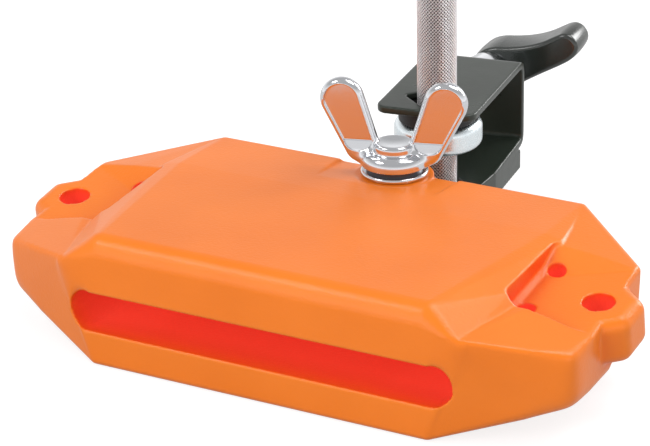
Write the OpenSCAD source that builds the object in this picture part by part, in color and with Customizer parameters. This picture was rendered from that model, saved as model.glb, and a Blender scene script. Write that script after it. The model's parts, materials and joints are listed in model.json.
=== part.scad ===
// Percussion block of moulded plastic, with a swivelling rod clamp at its back.
// Millimetres. X runs along the block, +Y to its back, +Z up.
// The origin lies on the flat underside, below the line that joins the two lug holes.

/* [Block body] */
// Height of the flat top
block_h = 41.2; // [38:0.1:46]
// Distance from the lug holes forward to the front face
block_front = 43.5; // [41:0.1:48]
// Distance from the lug holes back to the rear face
block_back = 48.7; // [47.5:0.1:51]
// How much lower the top is along its rear edge
rear_drop = 0.7; // [0:0.1:1.5]
// Half width between the outer ends of the front shoulders
body_half = 94.6; // [92:0.1:97]
// How much narrower each rear shoulder ends
rear_narrowing = 2.3; // [0:0.1:5]
// Half width of the flat top along its front edge
top_half_front = 54.8; // [50:0.1:58]
// Half width of the flat top along its rear edge
top_half_back = 62.6; // [60:0.1:66]
// Half width of the flat underside
base_half = 56.3; // [50:0.1:62]
// Height of the underside at the outer ends
base_rise = 10.4; // [6:0.1:14]
// Half width of the front face along its top crease
crease_half = 64; // [60:0.1:68]
// Height of the front crease at its inner end
crease_h = 33; // [30:0.1:35]
// Height of the front crease at its outer end
crease_end_h = 28; // [24:0.1:29]
// Height of the corner where the top's side slope meets the front facet
facet_h = 37.6; // [36.5:0.1:39]
// Distance from the lug holes forward to that corner
facet_front = 24; // [21:0.1:27]
// Height of the front shoulder at the pocket's inner wall
front_shoulder_h = 33.8; // [32:0.1:35]
// Height of the front shoulder at its outer end
front_shoulder_end_h = 29.7; // [28.5:0.1:31]
// Height of the rear shoulder at its outer end
rear_shoulder_end_h = 36; // [34:0.1:39]
// Distance from the lug holes forward to the outer front corners
end_front = 28.4; // [26:0.1:33]
// Distance from the lug holes back to the outer rear corners
end_back = 22.8; // [21:0.1:26]
// Rounding of the body's edges
edge_r = 2; // [1:0.1:4]
// Rounding of the edges round the facets
facet_r = 1; // [0.5:0.1:2]
// Rounding of the lower outer corners
end_r = 5; // [2:0.1:7]
// Rounding along the top front edge
brow_r = 6.5; // [4:0.1:9]

/* [Front slot] */
// Half width of the sound slot
slot_half = 63.4; // [55:0.1:66]
// Height of the sound slot
slot_h = 12.3; // [9:0.1:13]
// Height of the sound slot's middle above the underside
slot_z = 17.3; // [16.5:0.1:18]
// Depth of the sound slot behind the front face
slot_depth = 61; // [40:0.1:63]

/* [Lugs] */
// Distance from the middle of the block to each lug hole
lug_x = 88.8; // [86:0.1:91]
// Height of the lug floor at its hole
lug_z = 32.7; // [31:0.1:34]
// Slope of the lug floor, rising to the back
lug_tilt = 8.7; // [4:0.1:11]
// Thickness of a lug
lug_t = 15; // [11:0.1:16]
// Distance from the lug hole to the flat end of the lug
lug_reach = 11.8; // [9:0.1:14]
// Half width of the lug's flat end
lug_end_half = 8.2; // [6:0.1:9]
// Half width of the lug where it leaves the body
lug_root_half = 14.8; // [13:0.1:16]
// Rounding of the lug's edges
lug_edge_r = 4; // [2:0.1:4.5]
// Diameter of the lug hole
lug_hole_d = 9.5; // [8:0.1:11]
// Distance from the middle of the block to the pocket's inner wall
pocket_x = 66.8; // [65:0.1:69]
// Distance from the lug hole line forward to the pocket's front wall
pocket_front = 16.3; // [15:0.1:17]
// Distance from the lug hole line back to the top of the pocket's rear slope
pocket_back = 20.2; // [18:0.1:21]
// Rounding of the pocket's inner corners
pocket_r = 3.6; // [2:0.1:5]
// Width of the bevel at the foot of the pocket's inner wall
pocket_bevel = 1.6; // [0.5:0.1:2.5]
// Distance from the lug hole line back to the inner foot of the rear slope
slope_start = 6.5; // [4:0.1:9]
// Turn of the rear slope's foot away from the block's length
slope_turn = 28; // [15:0.5:35]
// Steepness of the rear slope above the lug floor
slope_tilt = 18.6; // [15:0.2:21]
// Diameter of the two small blind holes in each pocket
pilot_d = 5.2; // [3:0.1:5.5]
// Distance from the pocket's inner wall to the small blind holes
pilot_x = 4.2; // [3.5:0.1:6]
// Distance from the lug hole line to each small blind hole
pilot_y = 10.4; // [9:0.1:11]
// Depth of the small blind holes
pilot_depth = 9; // [5:0.1:12]

/* [Rear boss] */
// Distance from the lug hole line back to the pivot bolt
pivot_y = 44.6; // [44:0.1:47]
// Drop of the boss's face below the flat top
boss_drop = 1; // [0.6:0.1:1.2]
// Diameter of the boss round the pivot bolt
boss_d = 24.5; // [23:0.1:27]
// Half width of the shallow recess round the boss
recess_half = 20; // [16:0.1:21]
// Distance from the lug hole line back to the start of the recess
recess_start = 27.5; // [24:0.1:31]
// Slope of the recess floor, falling to the back
recess_tilt = 5; // [2:0.1:7]
// Half width of the slot that takes the clamp's arm
arm_slot_half = 22; // [20:0.1:26]
// Distance from the pivot bolt forward to the end of the arm slot
arm_slot_reach = 17; // [16:0.1:18]
// Height of the arm slot's floor
arm_slot_floor = 12; // [10:0.1:12.5]

/* [Pivot bolt and wing nut] */
// Diameter of the pivot bolt
bolt_d = 8; // [7:0.1:9]
// Width of the pivot bolt's hexagon head across its flats
bolt_head_w = 13; // [12:0.1:15]
// Thickness of the pivot bolt's head
bolt_head_t = 5; // [4:0.1:5.3]
// Diameter of the flat washer on the boss
washer_d = 21; // [19:0.1:22]
// Thickness of the flat washer
washer_t = 1.5; // [1:0.1:2]
// Diameter of the dark spring washer
spring_washer_d = 17.4; // [15:0.1:18]
// Thickness of the spring washer
spring_washer_t = 1.5; // [1:0.1:2]
// Diameter of the wing nut's foot
nut_foot_d = 20.6; // [18:0.1:21]
// Height of the wing nut's round shoulder above its foot
nut_shoulder_h = 4.4; // [4:0.1:5.4]
// Diameter of the wing nut's dome
nut_dome_d = 13.2; // [12:0.1:14]
// Height of the wing nut's dome above its foot
nut_h = 7.2; // [6.8:0.1:9]
// Distance from the bolt to the middle of each wing
wing_x = 15.6; // [14:0.1:17]
// Height of the middle of each wing's round end above the foot
wing_h = 19.9; // [17:0.1:22]
// Radius of each wing's round end
wing_r = 7.3; // [6:0.1:8]
// Distance from the bolt to the middle of each wing's round root
wing_root_x = 9.4; // [9:0.1:10]
// Radius of each wing's round root
wing_root_r = 4.7; // [4:0.1:5]
// Thickness of a wing at its rim
wing_t = 5; // [4:0.1:6]
// Width of the raised rim round each wing's hollow panel
wing_rim = 1.6; // [1.2:0.1:2.5]
// Depth of the hollow panel on each side of a wing
wing_panel_depth = 1; // [0.6:0.1:1.6]
// Height of the panel's straight lower edge above the foot
panel_foot = 7.5; // [5:0.1:9]
// Radius of the scoop below each panel
scoop_r = 3.9; // [3:0.1:4.2]
// Turn of the wing nut as it stands
nut_turn = 17; // [0:0.5:45]

/* [Clamp bracket] */
// Turn of the clamp as it stands
clamp_turn = 8.6; // [-10:0.1:15]
// Distance from the pivot bolt to the rod
arm_reach = 41.6; // [39:0.1:44]
// Thickness of the bracket's sheet
sheet_t = 2.5; // [2:0.1:2.7]
// Half width of the bracket
bracket_half = 16.4; // [15:0.1:17]
// Half width of the arm at the pivot bolt
arm_half = 12.4; // [11:0.1:13]
// Height of the bracket's top face
bracket_top = 50.5; // [49:0.1:52]
// Height of the arm's upper face at the pivot bolt
arm_top = 21.5; // [21:0.1:22]
// How much higher the lower flange is at the rear wall
flange_rise = 2; // [1:0.1:3]
// Distance from the rod forward to the top flange's front edge
flange_front = 13.7; // [12.5:0.1:14]
// Distance from the rod back to the outside of the rear wall
wall_back = 42.2; // [36:0.1:44]
// Outside radius of the bracket's bends
bend_r = 3.8; // [2.8:0.1:4]
// Depth of the arm's side lips
lip_depth = 8; // [6:0.1:9]
// Half diagonal of the square rod openings
notch_half = 10.4; // [9.6:0.1:11.5]
// Rounding of the corners of the rod openings
notch_r = 1.2; // [0.5:0.1:2]

/* [Rod, collar and eye bolt] */
// Diameter of the rod
rod_d = 12.7; // [12:0.1:13]
// Height of the rod's lower end above the underside
rod_foot = 12; // [8:0.1:16]
// Length of the rod
rod_len = 118; // [90:1:160]
// Length of the rod's plain upper end, past the knurl
rod_end_len = 40; // [20:1:44]
// Depth of the groove where the knurl ends
rod_groove_depth = 0.4; // [0.2:0.05:1]
// Outside diameter of the black collar under the top flange
collar_d = 24.8; // [23:0.1:26]
// Outside diameter of the eye
eye_d = 28.4; // [25:0.1:28.8]
// Diameter of the hole through the eye
eye_hole_d = 15.4; // [15:0.1:16]
// Height of the eye bolt's middle
eye_z = 38.6; // [38:0.1:39]
// Thickness of the eye
eye_t = 9.2; // [7:0.1:9.4]
// Diameter of the eye bolt's stem
stem_d = 8; // [6:0.1:8.4]

/* [Lever] */
// Diameter of the washer behind the rear wall
rear_washer_d = 20.8; // [19:0.1:22]
// Thickness of the washer behind the rear wall
rear_washer_t = 1.6; // [1:0.1:2]
// Diameter of the lever's metal hub at its front
hub_front_d = 20; // [17:0.1:21]
// Diameter of the lever's metal hub at its back
hub_back_d = 16.8; // [14:0.1:18]
// Length of the lever's metal hub
hub_len = 11; // [8:0.1:14]
// Depth of the handle along the eye bolt
handle_depth = 15; // [12:0.1:18]
// Distance from the eye bolt to the handle's tip
handle_len = 32.6; // [30:0.1:34.5]
// Rise of the handle's tip above the eye bolt's middle
handle_rise = 17.2; // [15:0.1:19.8]
// Radius of the handle's round tip
handle_tip_r = 5; // [4:0.1:6]
// Radius of the handle's round root
handle_root_r = 7; // [6:0.1:8]
// Rounding of the handle's front and back edges
handle_edge_r = 2; // [1:0.1:2.5]

/* [Fits] */
// Gap between flat faces that slide or turn on each other
seat_gap = 0.1; // [0.05:0.01:0.3]
// Gap between a turning shaft and its bore
running_gap = 0.08; // [0.03:0.01:0.1]
// Gap round a bolt in a plain hole
bolt_gap = 0.3; // [0.2:0.05:0.5]
// Gap between the rod and what it bears on
rod_gap = 0.15; // [0.1:0.01:0.3]

/* [Hidden] */

$fn = 64;
corner_fn = 28;
bend_steps = 6;
// Overrun of every cut past the face it leaves
over = 2;

// Heights of the stack on the boss
boss_top = block_h - boss_drop;
washer_z = boss_top + seat_gap;
spring_washer_z = washer_z + washer_t;
nut_z = spring_washer_z + spring_washer_t + seat_gap;
arm_slot_top = arm_top + seat_gap;
bolt_head_top = arm_top - sheet_t - seat_gap;
bolt_end = nut_z + nut_h - nut_dome_d / 4;

// The rod's opening is a square on its corner, and the rod lies in its rear corner
notch_back = (rod_d / 2 + rod_gap) * sqrt(2);
eye_shift = eye_hole_d / 2 - rod_d / 2 - rod_gap;
hub_y = wall_back + rear_washer_t + seat_gap;
handle_y = hub_y + hub_len;
stem_end = handle_y + handle_depth * 0.6;

// Points of an arc from one angle to another
function arc(centre, r, from, to, steps) = [
    for (i = [0 : steps])
        centre + r * [cos(from + (to - from) * i / steps), sin(from + (to - from) * i / steps)]
];

// Places what follows about the pivot bolt as the clamp stands, with the rod at its origin
module in_clamp() {
    translate([0, pivot_y, 0])
        rotate([0, 0, clamp_turn])
            translate([0, arm_reach, 0])
                children();
}

// Places what follows on the sloping lug floor
module in_lug() {
    translate([0, 0, lug_z])
        rotate([lug_tilt, 0, 0])
            children();
}

// Points what follows along the eye bolt, to the back
module along_stem(y) {
    translate([0, y, eye_z])
        rotate([-90, 0, 0])
            children();
}

// One rounded corner of the body: its outer point, and which way its faces look
module body_corner(point, look, r) {
    translate(point - r * look)
        sphere(r = r, $fn = corner_fn);
}

// The middle of the body under its flat top, out to the facets beside the top
module middle_form() {
    pocket_half = pocket_x + facet_r;
    foot_half = pocket_x + pilot_x + pilot_d / 2;
    foot_z = front_shoulder_h - facet_r;
    hull()
        for (side = [-1, 1])
            scale([side, 1, 1]) {
                // Flat underside
                body_corner([base_half, -block_front, 0], [0.5, -1, -1], edge_r);
                body_corner([base_half, block_back - edge_r, 0], [0.5, 1, -1], edge_r);
                // Top with its deep front rounding
                body_corner([top_half_front, -block_front, block_h], [0.2, -1, 1], brow_r);
                body_corner([top_half_back, pocket_back, block_h], [0.1, 0, 1], facet_r);
                body_corner([top_half_back, block_back, block_h - rear_drop], [0.3, 1, 1], edge_r);
                // Corners of the facets beside the top
                body_corner([crease_half, -block_front, crease_h], [0.3, -1, 0.5], facet_r);
                body_corner([crease_half, -facet_front, facet_h], [0.3, 0, 1], facet_r);
                body_corner([pocket_half, -pocket_front, facet_h], [0.3, 0, 1], facet_r);
                body_corner([pocket_half, pocket_back, block_h - facet_r], [0.3, 0, 1], facet_r);
                // Feet of the facets, sunk into the shoulder
                body_corner([foot_half, -pocket_front, foot_z], [1, 0, 1], facet_r);
                translate([pocket_r, facet_r, -facet_r])
                    body_corner([crease_half, -block_front, crease_h], [1, -0.5, 1], facet_r);
            }
}

// The end of the body with its front shoulder, up to the lug floor
module shoulder_form() {
    rear_half = body_half - rear_narrowing;
    hull() {
        body_corner([base_half, -block_front, 0], [0.5, -1, -1], edge_r);
        body_corner([base_half, block_back / 2, 0], [0.5, 1, -1], edge_r);
        body_corner([body_half, -end_front, base_rise], [1, -0.7, -0.9], end_r);
        body_corner([rear_half, end_back, base_rise], [1, 0.8, -0.9], end_r);
        body_corner([crease_half, -block_front, crease_h], [0.3, -1, 0.5], facet_r);
        body_corner([body_half, -end_front, crease_end_h], [1, -0.6, 0.7], edge_r);
        body_corner([body_half, -pocket_front, front_shoulder_end_h], [1, 0, 0.9], facet_r);
        body_corner([pocket_x, -pocket_front, front_shoulder_h], [0, 0, 1], facet_r);
        body_corner([pocket_x, end_back, rear_shoulder_end_h], [0, 0, 1], facet_r);
        body_corner([rear_half, end_back, rear_shoulder_end_h], [1, 0.7, 1], edge_r);
    }
}

// The rear shoulder, which falls from the top to the outer end
module rear_form() {
    rear_half = body_half - rear_narrowing;
    hull() {
        body_corner([base_half, block_back - edge_r, 0], [0.5, 1, -1], edge_r);
        body_corner([base_half, 0, 0], [0.5, 0, -1], edge_r);
        body_corner([rear_half, 0, base_rise], [1, 0, -0.9], end_r);
        body_corner([rear_half, end_back, base_rise], [1, 0.8, -0.9], end_r);
        body_corner([top_half_back, block_back, block_h - rear_drop], [0.3, 1, 1], edge_r);
        body_corner([base_half, slope_start, block_h - rear_drop], [0, 0, 1], edge_r);
        body_corner([rear_half, 0, rear_shoulder_end_h], [1, 0, 1], edge_r);
        body_corner([rear_half, end_back, rear_shoulder_end_h], [1, 0.7, 1], edge_r);
    }
}

// A lug with its rounded edges, its top on the lug floor
module lug_form() {
    root_x = body_half - 1.5 * lug_edge_r;
    end_x = lug_x + lug_reach - lug_edge_r;
    hull()
        for (side = [-1, 1], z = [-lug_edge_r, -lug_t + lug_edge_r]) {
            translate([root_x, side * (lug_root_half - lug_edge_r), z])
                sphere(r = lug_edge_r, $fn = corner_fn);
            translate([end_x, side * (lug_end_half - lug_edge_r), z])
                sphere(r = lug_edge_r, $fn = corner_fn);
        }
}

// Outline of the pocket above a lug, open to the outside
module pocket_outline() {
    outer_x = lug_x + 2 * lug_reach;
    inner = pocket_x + pocket_r;
    translate([inner, -pocket_front])
        square([outer_x - inner, pocket_front + pocket_back]);
    translate([pocket_x, -pocket_front + pocket_r])
        square([outer_x - pocket_x, pocket_front + pocket_back - 2 * pocket_r]);
    for (y = [-pocket_front + pocket_r, pocket_back - pocket_r])
        translate([inner, y])
            circle(r = pocket_r);
}

// Everything above a plane through the origin, as far as a pocket reaches
module above_plane() {
    side = 6 * block_h;
    translate([-side / 2, -side / 2, 0])
        cube(side);
}

// The pocket above a lug: flat floor, bevel along the inner wall, slope to the back
module pocket_cut() {
    foot_x = pocket_x + pocket_bevel;
    intersection() {
        linear_extrude(block_h)
            pocket_outline();
        translate([foot_x, 0, 0])
            rotate([0, 45, 0])
                above_plane();
        translate([foot_x, slope_start, 0])
            rotate([slope_tilt, 0, slope_turn])
                above_plane();
    }
}

// Long slot with round ends across the front, and the chamber behind it
module sound_slot() {
    r = slot_h / 2;
    translate([0, -block_front + slot_depth, slot_z])
        rotate([90, 0, 0])
            linear_extrude(slot_depth + block_front) {
                square([2 * (slot_half - r), slot_h], center = true);
                for (side = [-1, 1])
                    translate([side * (slot_half - r), 0])
                        circle(r = r);
            }
}

// Slot under the boss for the clamp's arm, open to the back
module arm_slot() {
    r = arm_slot_reach / 2;
    front = pivot_y - arm_slot_reach;
    depth = boss_d + arm_slot_reach;
    translate([0, 0, arm_slot_floor])
        linear_extrude(arm_slot_top - arm_slot_floor) {
            translate([-arm_slot_half, front + r])
                square([2 * arm_slot_half, depth]);
            translate([-arm_slot_half + r, front])
                square([2 * (arm_slot_half - r), depth]);
            for (side = [-1, 1])
                translate([side * (arm_slot_half - r), front + r])
                    circle(r = r);
        }
}

// Shallow tray with sloping sides, cut into the top round the boss
module recess_cut() {
    flare = recess_half / 5;
    translate([0, recess_start, block_h])
        rotate([90 + recess_tilt, 0, 180])
            translate([0, 0, -over])
                linear_extrude(block_back)
                    polygon([
                        [-recess_half, 0],
                        [recess_half, 0],
                        [recess_half + flare, flare],
                        [-recess_half - flare, flare]
                    ]);
}

module block_body() {
    color("darkorange")
        difference() {
            union() {
                difference() {
                    union() {
                        middle_form();
                        for (side = [0, 1])
                            mirror([side, 0, 0]) {
                                shoulder_form();
                                rear_form();
                                in_lug()
                                    lug_form();
                            }
                    }
                    recess_cut();
                    // Flat seat for the washers
                    translate([0, pivot_y, boss_top])
                        cylinder(h = over, d = boss_d);
                }
                translate([0, pivot_y, arm_slot_top])
                    cylinder(h = boss_top - arm_slot_top, d = boss_d);
            }
            sound_slot();
            arm_slot();
            translate([0, pivot_y, 0])
                translate([0, 0, arm_slot_floor])
                    cylinder(h = block_h, d = bolt_d + 2 * bolt_gap);
            for (side = [0, 1])
                mirror([side, 0, 0])
                    in_lug() {
                        pocket_cut();
                        translate([lug_x, 0, -block_h])
                            cylinder(h = block_h + over, d = lug_hole_d);
                        for (y = [-pilot_y, pilot_y])
                            translate([pocket_x + pilot_x, y, -pilot_depth])
                                cylinder(h = pilot_depth + over, d = pilot_d);
                    }
        }
}

module pivot_bolt() {
    color("gainsboro")
        translate([0, pivot_y, 0]) {
            translate([0, 0, bolt_head_top - bolt_head_t])
                cylinder(h = bolt_head_t, d = bolt_head_w / cos(30), $fn = 6);
            translate([0, 0, bolt_head_top])
                cylinder(h = bolt_end - bolt_head_top, d = bolt_d);
        }
}

module ring(z, t, outer, inner) {
    translate([0, 0, z])
        difference() {
            cylinder(h = t, d = outer);
            translate([0, 0, -over])
                cylinder(h = t + 2 * over, d = inner);
        }
}

module flat_washer() {
    color("silver")
        translate([0, pivot_y, 0])
            ring(washer_z, washer_t, washer_d, bolt_d + 2 * bolt_gap);
}

module spring_washer() {
    color("dimgray")
        translate([0, pivot_y, 0])
            ring(spring_washer_z, spring_washer_t, spring_washer_d, bolt_d + 2 * bolt_gap);
}

// Outline of one wing, wide and round at its top and narrower at its root
module wing_outline(inset) {
    hull() {
        translate([wing_x, wing_h])
            circle(r = wing_r - inset, $fn = 48);
        translate([wing_root_x, wing_root_r])
            circle(r = wing_root_r - inset, $fn = 32);
    }
}

// Hollow panel in one face of a wing, with a scoop that runs out below it
module wing_panel() {
    scoop_tilt = atan(wing_panel_depth / scoop_r);
    translate([0, 0, wing_t / 2 - wing_panel_depth]) {
        linear_extrude(2 * wing_panel_depth)
            intersection() {
                wing_outline(wing_rim);
                translate([0, panel_foot])
                    square([wing_x + wing_r, wing_h + wing_r]);
            }
        translate([wing_root_x, panel_foot, 0])
            rotate([-scoop_tilt, 0, 0])
                linear_extrude(2 * wing_panel_depth)
                    intersection() {
                        circle(r = scoop_r);
                        translate([-scoop_r, -scoop_r])
                            square([2 * scoop_r, scoop_r]);
                    }
    }
}

module wing_nut() {
    foot_r = nut_foot_d / 2;
    dome_r = nut_dome_d / 2;
    round_r = foot_r / 3;
    dome_round = (nut_h - nut_shoulder_h) * 0.8;
    shoulder_centre = [foot_r - round_r, nut_shoulder_h - round_r];
    dome_centre = [dome_r - dome_round, nut_h - dome_round];
    foot_reach = wing_root_x + wing_root_r - wing_t / 2;
    color("whitesmoke")
        translate([0, pivot_y, nut_z])
            rotate([0, 0, nut_turn])
                difference() {
                    union() {
                        // Foot, round shoulder and low dome
                        rotate_extrude()
                            polygon(concat(
                                [[0, 0], [foot_r, 0]],
                                arc(shoulder_centre, round_r, 0, 80, bend_steps),
                                [[dome_r, nut_shoulder_h - seat_gap]],
                                arc(dome_centre, dome_round, 0, 75, bend_steps),
                                [[0, nut_h]]
                            ));
                        // Foot drawn out under both wings
                        hull() {
                            cylinder(h = wing_root_r / 2, r = foot_r - seat_gap, $fn = 32);
                            for (side = [-1, 1])
                                translate([side * foot_reach, 0, wing_root_r / 2])
                                    cylinder(h = wing_root_r / 2, d = wing_t, $fn = 24);
                        }
                        for (side = [0, 1])
                            mirror([side, 0, 0])
                                rotate([90, 0, 0])
                                    difference() {
                                        translate([0, 0, -wing_t / 2])
                                            linear_extrude(wing_t)
                                                wing_outline(0);
                                        for (face = [0, 1])
                                            mirror([0, 0, face])
                                                wing_panel();
                                    }
                    }
                    translate([0, 0, -over])
                        cylinder(h = bolt_end - nut_z + over + seat_gap, d = bolt_d + 2 * running_gap);
                }
}

// Side view of the bent sheet: top flange, rear wall and lower flange
module sheet_profile() {
    inner_r = bend_r - sheet_t;
    low = arm_top - sheet_t + flange_rise;
    arm_end = -arm_reach - arm_half;
    slope_end = -flange_front;
    polygon(concat(
        [[-flange_front, bracket_top]],
        arc([wall_back - bend_r, bracket_top - bend_r], bend_r, 90, 0, bend_steps),
        arc([wall_back - bend_r, low + bend_r], bend_r, 0, -90, bend_steps),
        [
            [slope_end, arm_top - sheet_t],
            [arm_end, arm_top - sheet_t],
            [arm_end, arm_top],
            [slope_end, arm_top]
        ],
        arc([wall_back - bend_r, low + bend_r], inner_r, -90, 0, bend_steps),
        arc([wall_back - bend_r, bracket_top - bend_r], inner_r, 0, 90, bend_steps),
        [[-flange_front, bracket_top - sheet_t]]
    ));
}

// Plan of the bracket: square at the rear wall, tapering to a round end at the pivot bolt
module bracket_plan() {
    corner = bend_r;
    polygon(concat(
        arc([0, -arm_reach], arm_half, -180, 0, 4 * bend_steps),
        [
            [arm_half, -arm_reach / 2],
            [arm_half, -flange_front - corner],
            [bracket_half, wall_back / 4],
            [bracket_half, wall_back + over],
            [-bracket_half, wall_back + over],
            [-bracket_half, wall_back / 4],
            [-arm_half, -flange_front - corner],
            [-arm_half, -arm_reach / 2]
        ]
    ));
}

// The same plan for the top flange, with rounded front corners
module top_plan() {
    r = bend_r;
    translate([-bracket_half + r, -flange_front])
        square([2 * (bracket_half - r), flange_front + wall_back + over]);
    translate([-bracket_half, -flange_front + r])
        square([2 * bracket_half, flange_front + wall_back + over]);
    for (side = [-1, 1])
        translate([side * (bracket_half - r), -flange_front + r])
            circle(r = r);
}

// Square opening on its corner, cut through a flange round the rod
module rod_opening() {
    translate([0, notch_back - notch_half])
        rotate(45)
            offset(r = notch_r)
                square(notch_half * sqrt(2) - 2 * notch_r, center = true);
}

module clamp_bracket() {
    half_h = (bracket_top + arm_top) / 2;
    color([0.12, 0.12, 0.12])
        in_clamp()
            difference() {
                union() {
                    intersection() {
                        rotate([90, 0, 90])
                            translate([0, 0, -bracket_half - over])
                                linear_extrude(2 * (bracket_half + over))
                                    sheet_profile();
                        union() {
                            linear_extrude(half_h)
                                bracket_plan();
                            translate([0, 0, half_h])
                                linear_extrude(bracket_top)
                                    top_plan();
                        }
                    }
                    // Side lips under the lower flange
                    translate([0, 0, arm_top - lip_depth])
                        linear_extrude(lip_depth - sheet_t / 2)
                            for (side = [0, 1])
                                mirror([side, 0])
                                    polygon([
                                        [bracket_half, wall_back - bend_r],
                                        [bracket_half, wall_back / 4],
                                        [arm_half, -flange_front - bend_r],
                                        [arm_half, -arm_reach * 0.62],
                                        [arm_half - sheet_t, -arm_reach * 0.62],
                                        [arm_half - sheet_t, -flange_front - bend_r],
                                        [bracket_half - sheet_t, wall_back / 4],
                                        [bracket_half - sheet_t, wall_back - bend_r]
                                    ]);
                }
                translate([0, -arm_reach, 0])
                    cylinder(h = half_h, d = bolt_d + 2 * running_gap);
                linear_extrude(bracket_top + over)
                    rod_opening();
                along_stem(wall_back - bend_r - over)
                    cylinder(h = bend_r + 2 * over, d = stem_d + 2 * bolt_gap);
            }
}

module guide_collar() {
    top = bracket_top - sheet_t;
    foot = eye_z + eye_t / 2 + seat_gap * 2;
    color([0.08, 0.08, 0.08])
        in_clamp()
            ring(foot, top - foot, collar_d, rod_d + 2 * bolt_gap);
}

module eye_bolt() {
    mid_r = (eye_d + eye_hole_d) / 4;
    half_w = (eye_d - eye_hole_d) / 4;
    round_r = half_w * 0.8;
    half_t = eye_t / 2;
    corner_x = half_w - round_r;
    corner_z = half_t - round_r;
    color("lightsteelblue")
        in_clamp() {
            translate([0, eye_shift, eye_z])
                rotate_extrude()
                    translate([mid_r, 0])
                        polygon(concat(
                            arc([corner_x, corner_z], round_r, 0, 90, bend_steps),
                            arc([-corner_x, corner_z], round_r, 90, 180, bend_steps),
                            arc([-corner_x, -corner_z], round_r, 180, 270, bend_steps),
                            arc([corner_x, -corner_z], round_r, 270, 360, bend_steps)
                        ));
            along_stem(eye_shift + mid_r)
                cylinder(h = stem_end - eye_shift - mid_r, d = stem_d);
        }
}

module rear_washer() {
    color("silver")
        in_clamp()
            along_stem(wall_back)
                ring(0, rear_washer_t, rear_washer_d, stem_d + 2 * bolt_gap);
}

module lever_hub() {
    color("silver")
        in_clamp()
            along_stem(hub_y)
                difference() {
                    cylinder(h = hub_len, d1 = hub_front_d, d2 = hub_back_d);
                    translate([0, 0, -over])
                        cylinder(h = hub_len + 2 * over, d = stem_d + 2 * running_gap);
                }
}

// Side view of the handle, with the eye bolt at its origin
module handle_outline() {
    reach_shares = [0.03, 0.15, 0.28, 0.4, 0.52, 0.64, 0.75];
    rise_shares = [0.53, 0.52, 0.55, 0.62, 0.71, 0.82, 0.93];
    under_reach_shares = [0.89, 0.78, 0.6, 0.42, 0.22];
    under_rise_shares = [0.42, 0.3, 0.12, -0.06, -0.27];
    tip = [handle_len - handle_tip_r, handle_rise - handle_tip_r];
    polygon(concat(
        arc([0, 0], handle_root_r, 280, 140, 2 * bend_steps),
        [for (i = [0 : len(reach_shares) - 1])
            [handle_len * reach_shares[i], handle_rise * rise_shares[i]]],
        arc(tip, handle_tip_r, 110, -40, 2 * bend_steps),
        [for (i = [0 : len(under_reach_shares) - 1])
            [handle_len * under_reach_shares[i], handle_rise * under_rise_shares[i]]]
    ));
}

module lever_handle() {
    color([0.1, 0.1, 0.1])
        in_clamp()
            difference() {
                translate([0, handle_y + handle_depth, eye_z])
                    rotate([90, 0, 0]) {
                        translate([0, 0, handle_edge_r])
                            linear_extrude(handle_depth - 2 * handle_edge_r)
                                handle_outline();
                        translate([0, 0, handle_edge_r * 0.3])
                            linear_extrude(handle_depth - 2 * handle_edge_r * 0.3)
                                offset(delta = -handle_edge_r * 0.3)
                                    handle_outline();
                        linear_extrude(handle_depth)
                            offset(delta = -handle_edge_r)
                                handle_outline();
                    }
                along_stem(handle_y - over)
                    cylinder(h = stem_end + seat_gap - handle_y + over, d = stem_d + 2 * running_gap);
            }
}

module rod() {
    chamfer = rod_d / 12;
    groove = rod_len - rod_end_len;
    color("lightgray")
        in_clamp()
            translate([0, 0, rod_foot])
                rotate_extrude()
                    polygon([
                        [0, 0],
                        [rod_d / 2 - chamfer, 0],
                        [rod_d / 2, chamfer],
                        [rod_d / 2, groove - 2 * chamfer],
                        [rod_d / 2 - rod_groove_depth, groove - chamfer - rod_groove_depth],
                        [rod_d / 2 - rod_groove_depth, groove - rod_groove_depth],
                        [rod_d / 2, groove],
                        [rod_d / 2, rod_len - chamfer],
                        [rod_d / 2 - chamfer, rod_len],
                        [0, rod_len]
                    ]);
}

block_body();
pivot_bolt();
flat_washer();
spring_washer();
wing_nut();
clamp_bracket();
guide_collar();
eye_bolt();
rear_washer();
lever_hub();
lever_handle();
rod();
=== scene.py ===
"""Looks of the percussion block and its rod clamp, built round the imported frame. Metres, +Z up."""

import json
import math
from collections import namedtuple

import bpy
import numpy as np
from mathutils import Matrix, Vector


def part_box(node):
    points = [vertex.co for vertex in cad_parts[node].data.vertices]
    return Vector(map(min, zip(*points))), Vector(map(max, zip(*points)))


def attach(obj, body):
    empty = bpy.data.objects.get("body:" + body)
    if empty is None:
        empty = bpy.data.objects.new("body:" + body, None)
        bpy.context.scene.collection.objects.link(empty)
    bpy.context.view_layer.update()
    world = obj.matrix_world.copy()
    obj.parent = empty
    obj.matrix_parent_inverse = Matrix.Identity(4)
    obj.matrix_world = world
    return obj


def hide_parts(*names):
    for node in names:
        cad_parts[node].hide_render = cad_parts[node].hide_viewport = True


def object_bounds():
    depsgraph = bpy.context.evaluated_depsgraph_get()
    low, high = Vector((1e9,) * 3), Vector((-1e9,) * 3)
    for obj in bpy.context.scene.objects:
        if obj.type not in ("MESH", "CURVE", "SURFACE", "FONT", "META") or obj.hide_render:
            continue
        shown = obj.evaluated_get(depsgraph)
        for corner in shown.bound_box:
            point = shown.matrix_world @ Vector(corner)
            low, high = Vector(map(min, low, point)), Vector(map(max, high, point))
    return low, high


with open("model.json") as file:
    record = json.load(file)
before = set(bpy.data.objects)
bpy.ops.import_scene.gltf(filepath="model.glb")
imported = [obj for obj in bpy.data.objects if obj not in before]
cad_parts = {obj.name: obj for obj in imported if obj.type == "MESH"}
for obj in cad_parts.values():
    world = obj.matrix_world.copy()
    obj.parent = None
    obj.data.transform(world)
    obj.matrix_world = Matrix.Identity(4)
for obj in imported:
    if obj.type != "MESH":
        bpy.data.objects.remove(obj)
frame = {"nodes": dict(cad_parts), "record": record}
cad_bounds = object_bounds()

MM = 0.001

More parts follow.
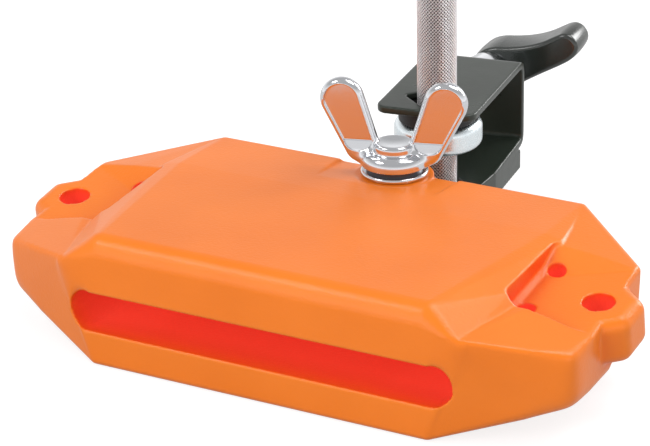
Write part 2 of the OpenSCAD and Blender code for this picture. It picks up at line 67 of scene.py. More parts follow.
# Places of the pieces, in millimetres and degrees as in the CAD model
PIVOT_Y = 44.6
NUT_Z = 43.4
NUT_TURN = 17.0
CLAMP_TURN = 8.6
ARM_REACH = 41.6
EYE_Z = 38.6
WALL_BACK = 42.2

# Block, in millimetres: what is rounded more widely than its other edges.
# A region's weight is its peak, less one for each reach away from its middle, held to 0 to 1.
BLOCK_VOXEL = 0.45
BLOCK_PASSES = 3
END_CORNER = (94.6, -29.0)
END_CORNER_REACH = 9.0
END_CORNER_PEAK = 1.6
END_CORNER_TOP = 30.0
END_CORNER_FADE = 4.0
FRONT_SEAM = (63.0, 26.5)
FRONT_SEAM_REACH = 5.0
FRONT_SEAM_PEAK = 1.5
FRONT_FACE_Y = -36.0
FRONT_FACE_FADE = 3.0
REGION_SHARES = 10
REGION_FACTOR = 0.9
REGION_PASSES = 160

# Wing nut, in millimetres
NUT_FOOT_R = 10.3
NUT_SHOULDER_H = 4.4
NUT_SHOULDER_R = 3.0
NUT_DOME_R = 6.6
NUT_DOME_EDGE_R = 1.3
NUT_H = 7.2
NUT_BORE_R = 4.1
NUT_BORE_H = 4.0
DISH_R = 26.0
DISH_DEPTH = 0.45
WING_T = 5.0
WING_FOOT = (10.0, 5.4)
WING_FOOT_R = 5.4
WING_TOP = (16.1, 20.4)
WING_TOP_R = 6.8
WING_EDGE_R = 2.2
WING_RIM = 1.5
PANEL_FOOT = 7.6
PANEL_DEPTH = 1.1
SCOOP_X = 10.9
SCOOP_HALF = 4.4
SCOOP_H = 3.3
SCOOP_OVERLAP = 0.2
WING_ROOT_FILLET = 2.2
PANEL_FILLET = 0.3
SCOOP_FILLET = 0.25
DISH_FILLET = 0.3
DOME_FILLET = 0.5
FOOT_FILLET = 0.4

# Washers, in millimetres
WASHER_BORE_R = 4.3
WASHER_EDGE_SHARE = 0.45
WASHER_FILLET = 0.3
FLAT_WASHER_LOW = 40.3
FLAT_WASHER_HIGH = 41.8
FLAT_WASHER_R = 10.5
REAR_WASHER_T = 1.6
REAR_WASHER_R = 10.4

# Eye bolt, hub and handle, in millimetres along the stem from the middle of the rod
EYE_R = 14.2
EYE_HOLE_R = 7.7
EYE_T = 9.2
EYE_SHIFT = 1.2
EYE_EDGE_R = 2.9
STEM_R = 4.0
STEM_FILLET = 1.0
STEM_BORE_R = 4.08
STEM_END = 63.9
HUB_NEAR = 43.9
HUB_FAR = 54.9
HUB_FRONT_R = 10.0
HUB_BACK_R = 8.4
HUB_CONE_COSINE = 0.99
HUB_EDGE_R = 0.7
HUB_FILLET = 0.2
HANDLE_NEAR = 54.9
HANDLE_FAR = 69.9
HANDLE_EDGE_R = 1.3
HANDLE_CROWN = 0.006
HANDLE_CUTS = 2
HANDLE_CORNERS = [
    (2.4, -7.2), (-3.4, -7.4), (-7.2, -4.4), (-7.9, 1.0), (-6.2, 5.4), (-3.0, 8.6), (1.0, 10.2),
    (6.0, 10.5), (12.0, 11.5), (17.5, 13.3), (22.0, 15.8), (25.4, 17.6), (28.6, 17.0),
    (30.9, 14.0), (30.6, 10.6), (28.2, 7.9), (24.0, 5.3), (18.5, 2.3), (12.5, -1.2), (7.5, -4.4),
]

# Meshing of the fields, in cells
CELL_MARGIN = 2
DRAW_ROUNDS = 5
NUDGE = 0.1
LEAST_SLOPE = 0.2

# Knurled rod, in metres
KNURL_STARTS = 36
KNURL_POINTS = 7
KNURL_STRETCH = 1.05
KNURL_DEPTH = 0.00042
KNURL_SLOPE = 1.8
KNURL_LAND = 0.25
CHAMFER_SHARE = 6
PLAIN_END = 0.040
GROOVE_DEPTH = 0.0004

# Floor, world and lamps
FLOOR_SIZE = 6.0
FLOOR_GAP = 0.0002
FLOOR_GREY = 0.32
FLOOR_SEEN = 0.8
FLOOR_MIRRORED = 0.4
WORLD_RISE = (-0.1, 0.5)
WORLD_LIGHT = (0.32, 0.38)
WORLD_MIRRORED = (1.35, 0.52)
LAMP_TARGET = Vector((0.0, 0.0, 0.03))
# Each lamp's size in metres, power in watts and place, and whether a glossy surface mirrors it
LAMPS = [
    ("top_box", 0.7, 7.5, (0.45, 0.45, 1.3), True),
    ("brow_box", 0.4, 3.0, (-0.65, -0.55, 1.15), True),
    ("edge_box", 0.6, 8.0, (0.5, 1.28, 0.6), True),
    ("key_box", 1.0, 12.5, (-0.5, -1.2, 0.55), False),
    ("right_box", 0.8, 7.5, (1.2, -0.5, 0.45), False),
]

# Camera, fitted to the photograph
CAMERA_AZIMUTH = 29.39
CAMERA_ELEVATION = 22.76
CAMERA_ROLL = -1.09
CAMERA_DISTANCE = 0.88816
CAMERA_TARGET = Vector((0.00022, 0.0, 0.04022))
CAMERA_LENS = 166.15
CAMERA_SENSOR = 36.0


def new_object(name, data):
    """A mesh, lamp or camera as an object in the scene."""
    obj = bpy.data.objects.new(name, data)
    bpy.context.scene.collection.objects.link(obj)
    return obj


def new_mesh(name, vertices, faces):
    """A mesh from its points and faces."""
    mesh = bpy.data.meshes.new(name)
    mesh.from_pydata(vertices, [], faces)
    mesh.update()
    return mesh


def add_smoothing(obj, factor, passes):
    """A modifier that draws each point towards its neighbours."""
    smooth = obj.modifiers.new("smooth", "SMOOTH")
    smooth.factor = factor
    smooth.iterations = passes
    return smooth


def apply_modifiers(obj):
    """Bakes the object's modifiers into its mesh."""
    graph = bpy.context.evaluated_depsgraph_get()
    mesh = bpy.data.meshes.new_from_object(obj.evaluated_get(graph))
    obj.modifiers.clear()
    old = obj.data
    obj.data = mesh
    bpy.data.meshes.remove(old)


def shade_smooth(obj):
    """Smooth shading over the whole mesh."""
    obj.data.polygons.foreach_set("use_smooth", [True] * len(obj.data.polygons))
    obj.data.update()
    return obj


def softened(node, name, voxel, passes):
    """A copy of a CAD node's mesh with even faces and softly rounded edges."""
    obj = new_object(name, frame["nodes"][node].data.copy())
    obj.data.materials.clear()
    remesh = obj.modifiers.new("remesh", "REMESH")
    remesh.mode = "VOXEL"
    remesh.voxel_size = voxel * MM
    add_smoothing(obj, 0.5, passes)
    apply_modifiers(obj)
    return shade_smooth(obj)


def place(obj, body, node, slot):
    """Gives a piece its material and body, and hides the CAD node that it stands for."""
    obj.data.materials.clear()
    obj.data.materials.append(MATERIALS[slot])
    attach(obj, body)
    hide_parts(node)


# Materials


def new_material(name, color, roughness, metallic=0.0, specular=0.5):
    """A material with its node tree and shader."""
    material = bpy.data.materials.new(name)
    material.use_nodes = True
    shader = material.node_tree.nodes["Principled BSDF"]
    shader.inputs["Base Color"].default_value = (*color, 1.0)
    shader.inputs["Roughness"].default_value = roughness
    shader.inputs["Metallic"].default_value = metallic
    shader.inputs["Specular IOR Level"].default_value = specular
    return material, material.node_tree, shader


def add_noise(tree, scale, detail=2.0):
    """Noise over the object's own coordinates, which count in metres."""
    coordinates = tree.nodes.new("ShaderNodeTexCoord")
    noise = tree.nodes.new("ShaderNodeTexNoise")
    noise.inputs["Scale"].default_value = scale
    noise.inputs["Detail"].default_value = detail
    tree.links.new(coordinates.outputs["Object"], noise.inputs["Vector"])
    return noise.outputs["Fac"]


def add_bump(tree, shader, source, distance, strength):
    """Bump from a texture's value."""
    bump = tree.nodes.new("ShaderNodeBump")
    bump.inputs["Distance"].default_value = distance
    bump.inputs["Strength"].default_value = strength
    tree.links.new(source, bump.inputs["Height"])
    tree.links.new(bump.outputs["Normal"], shader.inputs["Normal"])


def add_range(tree, source, to_low, to_high, from_low=0.0, from_high=1.0):
    """The source, mapped and held to a range."""
    mapping = tree.nodes.new("ShaderNodeMapRange")
    mapping.inputs["From Min"].default_value = from_low
    mapping.inputs["From Max"].default_value = from_high
    mapping.inputs["To Min"].default_value = to_low
    mapping.inputs["To Max"].default_value = to_high
    tree.links.new(source, mapping.inputs["Value"])
    return mapping.outputs["Result"]


def add_ramp(tree, source, *stops):
    """A colour ramp over the source, through its stops of position and colour."""
    ramp = tree.nodes.new("ShaderNodeValToRGB")
    elements = ramp.color_ramp.elements
    ends = (stops[0], stops[-1])
    for element, (position, color) in zip(elements, ends):
        element.position = position
        element.color = (*color, 1.0)
    for position, color in stops[1:-1]:
        elements.new(position).color = (*color, 1.0)
    tree.links.new(source, ramp.inputs["Fac"])
    return ramp.outputs["Color"]


def add_tint(tree, source, dark, light):
    """A colour that goes from dark to light with the source."""
    return add_ramp(tree, source, (0.3, dark), (0.7, light))


def add_mix(tree, share, low, high, kind="MIX"):
    """Two colours mixed, each of them a colour or another node's output."""
    mix = tree.nodes.new("ShaderNodeMix")
    mix.data_type = "RGBA"
    mix.blend_type = kind
    for name, value in (("Factor", share), ("A", low), ("B", high)):
        if isinstance(value, bpy.types.NodeSocket):
            tree.links.new(value, mix.inputs[name])
        else:
            mix.inputs[name].default_value = value
    return mix.outputs["Result"]


def add_openness(tree, distance):
    """How open a place is: 1 in the open, near 0 deep inside a hole."""
    occlusion = tree.nodes.new("ShaderNodeAmbientOcclusion")
    occlusion.samples = 8
    occlusion.only_local = True
    occlusion.inputs["Distance"].default_value = distance
    return occlusion.outputs["AO"]


def vary_roughness(tree, shader, scale, low, high):
    """Roughness that wanders between two values."""
    roughness = add_range(tree, add_noise(tree, scale), low, high)
    tree.links.new(roughness, shader.inputs["Roughness"])


def orange_plastic():
    """Moulded plastic with a fine grain, with painted shade that turns it red inside its holes and a
    faint painted glow there, for light shining through the plastic.
    """
    material, tree, shader = new_material(
        "orange_plastic", (0.9, 0.18, 0.01), roughness=0.31, specular=0.42)
    cloud = add_noise(tree, scale=30.0)
    tint = add_tint(tree, cloud, dark=(0.8, 0.18, 0.009), light=(0.85, 0.2, 0.013))
    # Painted shade: deep in holes and recesses the colour is multiplied down to dark red, where
    # shade falls.
    openness = add_openness(tree, distance=0.026)
    shade = add_ramp(
        tree, openness,
        (0.25, (0.82, 0.032, 0.015)), (0.62, (0.95, 0.45, 0.6)), (0.9, (1.0, 1.0, 1.0)),
    )
    shallow = add_range(tree, openness, 0.0, 1.0, from_low=0.2, from_high=0.55)
    shaded = add_mix(tree, 1.0, tint, shade, "MULTIPLY")
    color = add_mix(tree, shallow, (0.8, 0.055, 0.03, 1.0), shaded)
    tree.links.new(color, shader.inputs["Base Color"])
    # Painted glow: the same hollows emit a faint red light, standing in for light that shines
    # through the plastic.
    shader.inputs["Emission Color"].default_value = (0.9, 0.11, 0.06, 1.0)
    glow = add_range(tree, shallow, 0.26, 0.0)
    tree.links.new(glow, shader.inputs["Emission Strength"])
    grain = add_noise(tree, scale=1100.0, detail=3.0)
    add_bump(tree, shader, grain, distance=0.0002, strength=0.35)
    return material


def chrome():
    """Polished plating with faint waves and wear."""
    material, tree, shader = new_material(
        "chrome", (0.74, 0.75, 0.78), roughness=0.13, metallic=1.0)
    add_bump(tree, shader, add_noise(tree, scale=250.0), distance=0.0002, strength=0.1)
    vary_roughness(tree, shader, scale=900.0, low=0.1, high=0.17)
    return material


def zinc():
    """Bright zinc plating, a little blue and cloudy."""
    material, tree, shader = new_material(
        "zinc", (0.88, 0.95, 0.98), roughness=0.28, metallic=1.0)
    cloud = add_noise(tree, scale=220.0)
    tint = add_tint(tree, cloud, dark=(0.84, 0.92, 0.96), light=(0.93, 0.98, 1.0))
    tree.links.new(tint, shader.inputs["Base Color"])
    vary_roughness(tree, shader, scale=1500.0, low=0.2, high=0.38)
    return material


def dark_steel():
    """Dark spring steel."""
    material, tree, shader = new_material(
        "dark_steel", (0.09, 0.09, 0.1), roughness=0.35, metallic=1.0)
    vary_roughness(tree, shader, scale=1200.0, low=0.25, high=0.45)
    return material


def black_paint():
    """Glossy powder coat with a slight orange peel."""
    material, tree, shader = new_material(
        "black_paint", (0.02, 0.027, 0.02), roughness=0.27, specular=0.55)
    add_bump(tree, shader, add_noise(tree, scale=700.0), distance=0.0002, strength=0.12)
    vary_roughness(tree, shader, scale=150.0, low=0.24, high=0.36)
    return material


def black_rubber():
    """Dull black rubber."""
    material, tree, shader = new_material("black_rubber", (0.01, 0.01, 0.01), roughness=0.55)
    add_bump(tree, shader, add_noise(tree, scale=2000.0), distance=0.0001, strength=0.2)
    return material


def black_enamel():
    """Glossy enamel over a casting, faintly uneven."""
    material, tree, shader = new_material(
        "black_enamel", (0.016, 0.02, 0.017), roughness=0.2, specular=0.95)
    add_bump(tree, shader, add_noise(tree, scale=900.0), distance=0.0002, strength=0.12)
    vary_roughness(tree, shader, scale=120.0, low=0.18, high=0.3)
    return material


def knurled_steel():
    """Plated steel, pale on the knurl's ridges, with painted shade that darkens it in the knurl's
    pits.
    """
    material, tree, shader = new_material(
        "knurled_steel", (0.72, 0.69, 0.68), roughness=0.3, metallic=1.0)
    cloud = add_noise(tree, scale=160.0)
    tint = add_tint(tree, cloud, dark=(0.93, 0.88, 0.89), light=(1.0, 0.98, 0.99))
    # Painted shade: near black deep in the knurl's pits, where shade falls, fading to the plain tint
    # on the ridges.
    openness = add_openness(tree, distance=0.0006)
    unshaded_share = add_range(tree, openness, 0.0, 1.0, from_low=0.42, from_high=0.72)
    color = add_mix(tree, unshaded_share, (0.11, 0.09, 0.09, 1.0), tint)
    tree.links.new(color, shader.inputs["Base Color"])
    vary_roughness(tree, shader, scale=1800.0, low=0.22, high=0.4)
    return material


MATERIALS = {
    make.__name__: make()
    for make in (
        orange_plastic, chrome, zinc, dark_steel,
        black_paint, black_rubber, black_enamel, knurled_steel,
    )
}


def dress_cad_nodes():
    """Gives every CAD node the material of its slot in the record."""
    slots = {s["node"]: s["material_slot"] for s in frame["record"]["subparts"]}
    for node, obj in frame["nodes"].items():
        obj.data.materials.clear()
        obj.data.materials.append(MATERIALS[slots[node]])


# Block and rod


def region_weight(reach_a, reach_b, middle, radius, peak):
    """A region's weight at each point, from its peak in the middle down to 0."""
    reach = np.hypot(reach_a - middle[0] * MM, reach_b - middle[1] * MM)
    return np.clip(peak - reach / (radius * MM), 0, 1)


def softened_block():
    """The block's mesh with soft edges, wide front corners and no seam across its front face."""
    obj = softened("block_body", "block_shell", BLOCK_VOXEL, BLOCK_PASSES)
    count = len(obj.data.vertices)
    places = np.empty(count * 3)
    obj.data.vertices.foreach_get("co", places)
    x, y, z = places.reshape(count, 3).T
    corner = region_weight(np.abs(x), y, END_CORNER, END_CORNER_REACH, END_CORNER_PEAK)
    corner = corner * np.clip((END_CORNER_TOP * MM - z) / (END_CORNER_FADE * MM), 0, 1)
    seam = region_weight(np.abs(x), z, FRONT_SEAM, FRONT_SEAM_REACH, FRONT_SEAM_PEAK)
    seam = seam * np.clip((FRONT_FACE_Y * MM - y) / (FRONT_FACE_FADE * MM), 0, 1)
    shares = np.round(np.maximum(corner, seam) * REGION_SHARES)
    group = obj.vertex_groups.new(name="softened")
    for share in range(1, REGION_SHARES + 1):
        chosen = np.flatnonzero(shares == share)
        group.add([int(i) for i in chosen], share / REGION_SHARES, "REPLACE")
    add_smoothing(obj, REGION_FACTOR, REGION_PASSES).vertex_group = group.name
    apply_modifiers(obj)
    return shade_smooth(obj)


def knurled_rod():
    """The rod with its knurl cut in, a groove where the knurl ends, and a plain upper end."""
    low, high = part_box("rod")
    radius = (high.x - low.x) / 2
    centre = (low + high) / 2
    length = high.z - low.z
    columns = KNURL_STARTS * KNURL_POINTS
    pitch = 2 * math.pi * radius / KNURL_STARTS * KNURL_STRETCH
    rows = int(length / (pitch / KNURL_POINTS))
    chamfer = radius / CHAMFER_SHARE
    groove_top = length - PLAIN_END
    groove_low = groove_top - 2 * chamfer
    turn = np.arange(columns) / columns * KNURL_STARTS
    angle = 2 * math.pi * np.arange(columns) / columns
    vertices = []
    for row in range(rows + 1):
        z = length * row / rows
        taper = max(0.0, chamfer - min(z, length - z))
        climb = z / pitch
        ridge_a = np.abs(((turn + climb) % 1.0) * 2 - 1)
        ridge_b = np.abs(((turn - climb) % 1.0) * 2 - 1)
        pit = np.clip(np.minimum(ridge_a, ridge_b) * KNURL_SLOPE - KNURL_LAND, 0, 1)
        cut = KNURL_DEPTH * pit
        if z > groove_low:
            cut = cut * 0
        if groove_low < z < groove_top:
            cut = cut + GROOVE_DEPTH
        for r, a in zip(radius - taper - cut, angle):
            vertices.append((centre.x + r * math.cos(a), centre.y + r * math.sin(a), low.z + z))
    faces = []
    for base in range(0, rows * columns, columns):
        above = base + columns
        for column in range(columns):
            after = (column + 1) % columns
            faces.append((base + column, base + after, above + after, above + column))
    faces.append(tuple(reversed(range(columns))))
    faces.append(tuple(range(rows * columns, (rows + 1) * columns)))
    return new_object("knurled_rod", new_mesh("knurled_rod", vertices, faces))


# Cast and turned pieces are distance fields, in millimetres, meshed where the field is zero


def blend_max(a, b, width):
    """The larger of two fields, with a fillet of about the given width where they meet."""
    share = np.clip(0.5 + 0.5 * (a - b) / width, 0, 1)
    return b + (a - b) * share + width * share * (1 - share)


def blend_min(a, b, width):
    """The smaller of two fields, with a fillet of about the given width where they meet."""
    return -blend_max(-a, -b, width)


def rounded_corner(a, b, radius):
    """The overlap of two fields, with their outer edge rounded."""
    a = a + radius
    b = b + radius
    return np.minimum(np.maximum(a, b), 0) + np.hypot(np.maximum(a, 0), np.maximum(b, 0)) - radius


def between(value, low, high):
    """Distance to the slab from low to high, negative inside it."""
    return np.abs(value - (low + high) / 2) - (high - low) / 2


def two_circle_hull(x, z, foot, foot_r, top, top_r):
    """Distance to the outline that wraps two circles."""
    run = (top[0] - foot[0], top[1] - foot[1])
    square = run[0] ** 2 + run[1] ** 2
    across = np.abs((x - foot[0]) * run[1] - (z - foot[1]) * run[0]) / square
    along = ((x - foot[0]) * run[0] + (z - foot[1]) * run[1]) / square
    slope = foot_r - top_r
    flank = math.sqrt(square - slope ** 2)
    side = flank * along - slope * across
    reach = flank * across + slope * along
    below = np.sqrt(square * (across ** 2 + along ** 2)) - foot_r
    above = np.sqrt(square * (across ** 2 + (along - 1) ** 2)) - top_r
    return np.where(side < 0, below, np.where(side > flank, above, reach - foot_r))


def outline_distance(x, z, points):
    """Distance to a closed outline of points, negative inside it."""
    nearest = np.full(x.shape, np.inf)
    inside = np.zeros(x.shape, bool)
    for (ax, az), (bx, bz) in zip(points, np.roll(points, -1, axis=0)):
        share = (x - ax) * (bx - ax) + (z - az) * (bz - az)
        share = np.clip(share / ((bx - ax) ** 2 + (bz - az) ** 2), 0, 1)
        gap = (x - ax - share * (bx - ax)) ** 2 + (z - az - share * (bz - az)) ** 2
        nearest = np.minimum(nearest, gap)
        if az != bz:
            crosses = (az > z) != (bz > z)
            inside ^= crosses & (x < (bx - ax) * (z - az) / (bz - az) + ax)
    distance = np.sqrt(nearest)
    return np.where(inside, -distance, distance)


def cut_corners(points, rounds):
    """A smoother outline, its corners cut again and again."""
    for _ in range(rounds):
        after = np.roll(points, -1, axis=0)
        points = np.stack([0.75 * points + 0.25 * after, 0.25 * points + 0.75 * after], axis=1)
        points = points.reshape(-1, 2)
    return points


def crossed_cells(inside):
    """Which cells have corners on both sides of the surface."""
    count = np.zeros([n - 1 for n in inside.shape], int)
    for corner in np.ndindex(2, 2, 2):
        count += inside[tuple(slice(c, c + n) for c, n in zip(corner, count.shape))]
    return (count > 0) & (count < 8)


def drawn_to_surface(points, field, step):
    """The points, drawn step by step down the field's slope to where it is zero."""
    nudge = step * NUDGE
    for _ in range(DRAW_ROUNDS):
        slope = np.stack(
            [
                (field(*(points + way).T) - field(*(points - way).T)) / (2 * nudge)
                for way in np.eye(3) * nudge
            ],
            axis=1,
        )
        pull = field(*points.T) / np.maximum((slope ** 2).sum(axis=1), LEAST_SLOPE)
        points = points - np.clip(pull, -step, step)[:, None] * slope
    return points


def crossing_faces(inside, index, axis):
    """A face round each grid edge along the axis that the surface crosses, turned outwards."""
    along = [slice(None)] * 3
    beyond = [slice(None)] * 3
    along[axis] = slice(0, -1)
    beyond[axis] = slice(1, None)
    here = inside[tuple(along)]
    change = np.argwhere(here != inside[tuple(beyond)])
    side_a = np.eye(3, dtype=int)[(axis + 1) % 3]
    side_b = np.eye(3, dtype=int)[(axis + 2) % 3]
    ring = np.stack(
        [
            index[tuple((change - a * side_a - b * side_b).T)]
            for a, b in ((1, 1), (0, 1), (0, 0), (1, 0))
        ],
        axis=1,
    )
    outward = here[tuple(change.T)]
    ring[~outward] = ring[~outward][:, ::-1]
    return ring


def field_mesh(name, field, low, high, step, matrix):
    """A piece meshed from its field, with one point in each cell that its surface crosses."""
    axes = [
        np.arange(near - CELL_MARGIN * step, far + (CELL_MARGIN + 1) * step, step)
        for near, far in zip(low, high)
    ]
    inside = field(*np.meshgrid(*axes, indexing="ij")) < 0
    mixed = crossed_cells(inside)
    index = np.full(mixed.shape, -1)
    index[mixed] = np.arange(mixed.sum())
    points = np.argwhere(mixed) * step + [a[0] + step / 2 for a in axes]
    points = drawn_to_surface(points, field, step)
    faces = np.concatenate([crossing_faces(inside, index, axis) for axis in range(3)])
    mesh = new_mesh(name, (points * MM).tolist(), faces.tolist())
    mesh.transform(matrix)
    mesh.update()
    return shade_smooth(new_object(name, mesh))


def disc(rho, z, radius, low, high, round_r):
    """A flat disc with a round edge."""
    return rounded_corner(rho - radius, between(z, low, high), round_r)


def washer_field(low, high, radius):
    """A flat washer between two heights, as a field over x, y and z."""
    def field(x, y, z):
        rho = np.hypot(x, y)
        plate = disc(rho, z, radius, low, high, (high - low) * WASHER_EDGE_SHARE)
        return blend_max(plate, WASHER_BORE_R - rho, WASHER_FILLET)
    return field


def wing_nut_field(x, y, z):
    """The cast wing nut, its foot at height zero and its wings along x."""
    rho = np.hypot(x, y)
    side = np.abs(x)
    depth = np.abs(y) - WING_T / 2
    outline = two_circle_hull(side, z, WING_FOOT, WING_FOOT_R, WING_TOP, WING_TOP_R)
    wings = rounded_corner(outline, depth, WING_EDGE_R)
    foot = disc(rho, z, NUT_FOOT_R, -NUT_SHOULDER_H, NUT_SHOULDER_H, NUT_SHOULDER_R)
    body = blend_min(wings, foot, WING_ROOT_FILLET)
    panel = np.maximum(outline + WING_RIM, PANEL_FOOT - z)
    panel = blend_max(panel, -depth - PANEL_DEPTH, PANEL_FILLET)
    body = blend_max(body, -panel, PANEL_FILLET)
    fall = np.clip((z - PANEL_FOOT) / SCOOP_H + 1, 0, 1)
    scoop = np.hypot((side - SCOOP_X) / SCOOP_HALF, (z - PANEL_FOOT) / SCOOP_H) - 1
    scoop = np.maximum(scoop * SCOOP_H, z - PANEL_FOOT - SCOOP_OVERLAP)
    body = blend_max(body, -np.maximum(scoop, -depth - PANEL_DEPTH * fall), SCOOP_FILLET)
    dome = disc(rho, z, NUT_DOME_R, -NUT_H, NUT_H, NUT_DOME_EDGE_R)
    dish = np.hypot(rho, z - NUT_H - DISH_R + DISH_DEPTH) - DISH_R
    dome = blend_max(dome, -dish, DISH_FILLET)
    body = blend_min(body, dome, DOME_FILLET)
    body = blend_max(body, -z, FOOT_FILLET)
    return np.maximum(body, -np.maximum(rho - NUT_BORE_R, z - NUT_BORE_H))


def eye_field(x, y, z):
    """The eye round the rod, with its stem to the back."""
    rho = np.hypot(x, y - EYE_SHIFT)
    eye = rounded_corner(between(rho, EYE_HOLE_R, EYE_R), np.abs(z) - EYE_T / 2, EYE_EDGE_R)
    stem_start = EYE_SHIFT + (EYE_R + EYE_HOLE_R) / 2
    stem = np.maximum(np.hypot(x, z) - STEM_R, between(y, stem_start, STEM_END))
    return blend_min(eye, stem, STEM_FILLET)


def hub_field(x, y, z):
    """The turned hub: a cone with rounded ends and a bore."""
    rho = np.hypot(x, z)
    share = (y - HUB_NEAR) / (HUB_FAR - HUB_NEAR)
    cone = (rho - HUB_FRONT_R - (HUB_BACK_R - HUB_FRONT_R) * share) * HUB_CONE_COSINE
    body = rounded_corner(cone, between(y, HUB_NEAR, HUB_FAR), HUB_EDGE_R)
    return blend_max(body, STEM_BORE_R - rho, HUB_FILLET)


HANDLE_OUTLINE = cut_corners(np.array(HANDLE_CORNERS), HANDLE_CUTS)


def handle_field(x, y, z):
    """The lever's handle: an outline across the stem, deep from the hub to the back, crowned."""
    crown = HANDLE_CROWN * (y - (HANDLE_NEAR + HANDLE_FAR) / 2) ** 2
    outline = outline_distance(x, z, HANDLE_OUTLINE) + crown
    body = rounded_corner(outline, between(y, HANDLE_NEAR, HANDLE_FAR), HANDLE_EDGE_R)
    bore = np.maximum(np.hypot(x, z) - STEM_BORE_R, y - STEM_END)
    return np.maximum(body, -bore)


# Pieces that stand for CAD nodes. Sizes are in millimetres.

SoftPiece = namedtuple("SoftPiece", "node name body slot voxel passes")
FieldPiece = namedtuple("FieldPiece", "node name body slot field low high step matrix")


def soft_pieces():
    """The bent and moulded pieces, whose CAD meshes only need softer edges."""
    return [
        SoftPiece("clamp_bracket", "bracket_sheet", "clamp", "black_paint", 0.35, 9),
        SoftPiece("guide_collar", "collar_ring", "clamp", "black_rubber", 0.3, 3),
    ]


def field_pieces():
    """The cast and turned pieces, each with the box and step that its field is sampled at."""
    at_bolt = Matrix.Translation((0, PIVOT_Y * MM, 0))
    nut_turn = Matrix.Rotation(math.radians(NUT_TURN), 4, "Z")
    at_nut = at_bolt @ Matrix.Translation((0, 0, NUT_Z * MM)) @ nut_turn
    clamp_turn = Matrix.Rotation(math.radians(CLAMP_TURN), 4, "Z")
    at_rod = at_bolt @ clamp_turn @ Matrix.Translation((0, ARM_REACH * MM, 0))
    at_stem = at_rod @ Matrix.Translation((0, 0, EYE_Z * MM))
    on_wall = at_stem @ Matrix.Rotation(math.radians(-90), 4, "X")
    rear_washer_end = WALL_BACK + REAR_WASHER_T
    return [
        FieldPiece(
            "wing_nut", "wing_nut_cast", "wing_nut", "chrome", wing_nut_field,
            (-23, -10.4, 0), (23, 10.4, 27.3), 0.22, at_nut,
        ),
        FieldPiece(
            "flat_washer", "washer_plate", "nut_washers", "chrome",
            washer_field(FLAT_WASHER_LOW, FLAT_WASHER_HIGH, FLAT_WASHER_R),
            (-10.6, -10.6, FLAT_WASHER_LOW), (10.6, 10.6, FLAT_WASHER_HIGH), 0.2, at_bolt,
        ),
        FieldPiece(
            "eye_bolt", "eye_forging", "draw_bolt", "zinc", eye_field,
            (-14.3, -14.3, -4.7), (14.3, STEM_END, 4.7), 0.3, at_stem,
        ),
        FieldPiece(
            "rear_washer", "rear_washer_plate", "clamp", "chrome",
            washer_field(WALL_BACK, rear_washer_end, REAR_WASHER_R),
            (-10.5, -10.5, WALL_BACK), (10.5, 10.5, rear_washer_end), 0.25, on_wall,
        ),
        FieldPiece(
            "lever_hub", "hub_turning", "lever", "chrome", hub_field,
            (-10.1, HUB_NEAR, -10.1), (10.1, HUB_FAR, 10.1), 0.3, at_stem,
        ),
        FieldPiece(
            "lever_handle", "lever_grip", "lever", "black_enamel", handle_field,
            (-7.1, HANDLE_NEAR, -7.1), (31, HANDLE_FAR, 17.3), 0.35, at_stem,
        ),
    ]


def build_pieces():
    """Every piece that stands for a CAD node."""
    place(softened_block(), "block", "block_body", "orange_plastic")
    for p in soft_pieces():
        place(softened(p.node, p.name, p.voxel, p.passes), p.body, p.node, p.slot)
    for p in field_pieces():
        obj = field_mesh(p.name, p.field, p.low, p.high, p.step, p.matrix)
        place(obj, p.body, p.node, p.slot)
    place(knurled_rod(), "rod", "rod", "knurled_steel")


# Stage, light and camera


def add_value_mix(tree, share, low, high):
    """Two values mixed by a share. High may be a plain number."""
    mix = tree.nodes.new("ShaderNodeMix")
    mix.data_type = "FLOAT"
    tree.links.new(share, mix.inputs["Factor"])
    tree.links.new(low, mix.inputs["A"])
    if isinstance(high, float):
        mix.inputs["B"].default_value = high
    else:
        tree.links.new(high, mix.inputs["B"])
    return mix.outputs["Result"]


def build_stage():
    """A wide floor below the block: white to the camera, grey in light and in reflections."""
    below = (0, 0, cad_bounds[0][2] - FLOOR_GAP)
    bpy.ops.mesh.primitive_plane_add(size=FLOOR_SIZE, location=below)
    floor = bpy.context.object
    floor.name = "floor"
    material, tree, shader = new_material(
        "floor_white", (FLOOR_GREY,) * 3, roughness=0.8, specular=0.0)
    shader.inputs["Emission Color"].default_value = (1.0, 1.0, 1.0, 1.0)
    path = tree.nodes.new("ShaderNodeLightPath")
    glow = tree.nodes.new("ShaderNodeMath")
    glow.operation = "MULTIPLY_ADD"
    glow.inputs[1].default_value = FLOOR_MIRRORED
    tree.links.new(path.outputs["Is Glossy Ray"], glow.inputs[0])
    by_eye = add_range(tree, path.outputs["Is Camera Ray"], 0.0, FLOOR_SEEN)
    tree.links.new(by_eye, glow.inputs[2])
    tree.links.new(glow.outputs["Value"], shader.inputs["Emission Strength"])
    floor.data.materials.append(material)


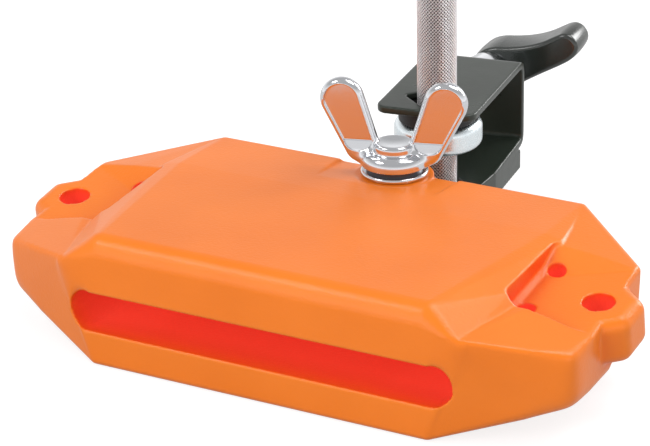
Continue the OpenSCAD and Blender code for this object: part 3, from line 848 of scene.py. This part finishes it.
def build_world():
    """A white surround that lights softly, and that reflections show brightest at the horizon."""
    world = bpy.data.worlds.new("studio")
    bpy.context.scene.world = world
    world.use_nodes = True
    tree = world.node_tree
    background = tree.nodes["Background"]
    background.inputs["Color"].default_value = (1.0, 1.0, 1.0, 1.0)
    coordinates = tree.nodes.new("ShaderNodeTexCoord")
    split = tree.nodes.new("ShaderNodeSeparateXYZ")
    tree.links.new(coordinates.outputs["Generated"], split.inputs["Vector"])
    low, high = WORLD_RISE
    rise = add_range(tree, split.outputs["Z"], 0.0, 1.0, from_low=low, from_high=high)
    lighting = add_range(tree, rise, *WORLD_LIGHT)
    mirrored = add_range(tree, rise, *WORLD_MIRRORED)
    path = tree.nodes.new("ShaderNodeLightPath")
    by_gloss = add_value_mix(tree, path.outputs["Is Glossy Ray"], lighting, mirrored)
    by_eye = add_value_mix(tree, path.outputs["Is Camera Ray"], by_gloss, 1.0)
    tree.links.new(by_eye, background.inputs["Strength"])


def build_lights():
    """Bright boxes whose glints run along slopes and edges, and wide fills that only light."""
    for name, size, power, location, mirrored in LAMPS:
        data = bpy.data.lights.new(name, "AREA")
        data.shape = "SQUARE"
        data.size = size
        data.energy = power
        lamp = new_object(name, data)
        lamp.location = location
        aim = LAMP_TARGET - Vector(location)
        lamp.rotation_euler = aim.to_track_quat("-Z", "Y").to_euler()
        lamp.visible_glossy = mirrored


def build_camera():
    """The photograph's viewpoint, with its slight roll."""
    azimuth = math.radians(CAMERA_AZIMUTH)
    elevation = math.radians(CAMERA_ELEVATION)
    roll = math.radians(CAMERA_ROLL)
    back = Vector((
        math.sin(azimuth) * math.cos(elevation),
        -math.cos(azimuth) * math.cos(elevation),
        math.sin(elevation),
    ))
    level = Vector((math.cos(azimuth), math.sin(azimuth), 0.0))
    upright = back.cross(level)
    right = level * math.cos(roll) + upright * math.sin(roll)
    up = upright * math.cos(roll) - level * math.sin(roll)
    data = bpy.data.cameras.new("camera")
    data.sensor_fit = "HORIZONTAL"
    data.sensor_width = CAMERA_SENSOR
    data.lens = CAMERA_LENS
    camera = new_object("camera", data)
    turn = Matrix((right, up, back)).transposed().to_4x4()
    camera.matrix_world = Matrix.Translation(CAMERA_TARGET + back * CAMERA_DISTANCE) @ turn
    bpy.context.scene.camera = camera


bpy.context.scene.view_settings.view_transform = "Standard"
dress_cad_nodes()
build_pieces()
build_stage()
build_world()
build_lights()
build_camera()
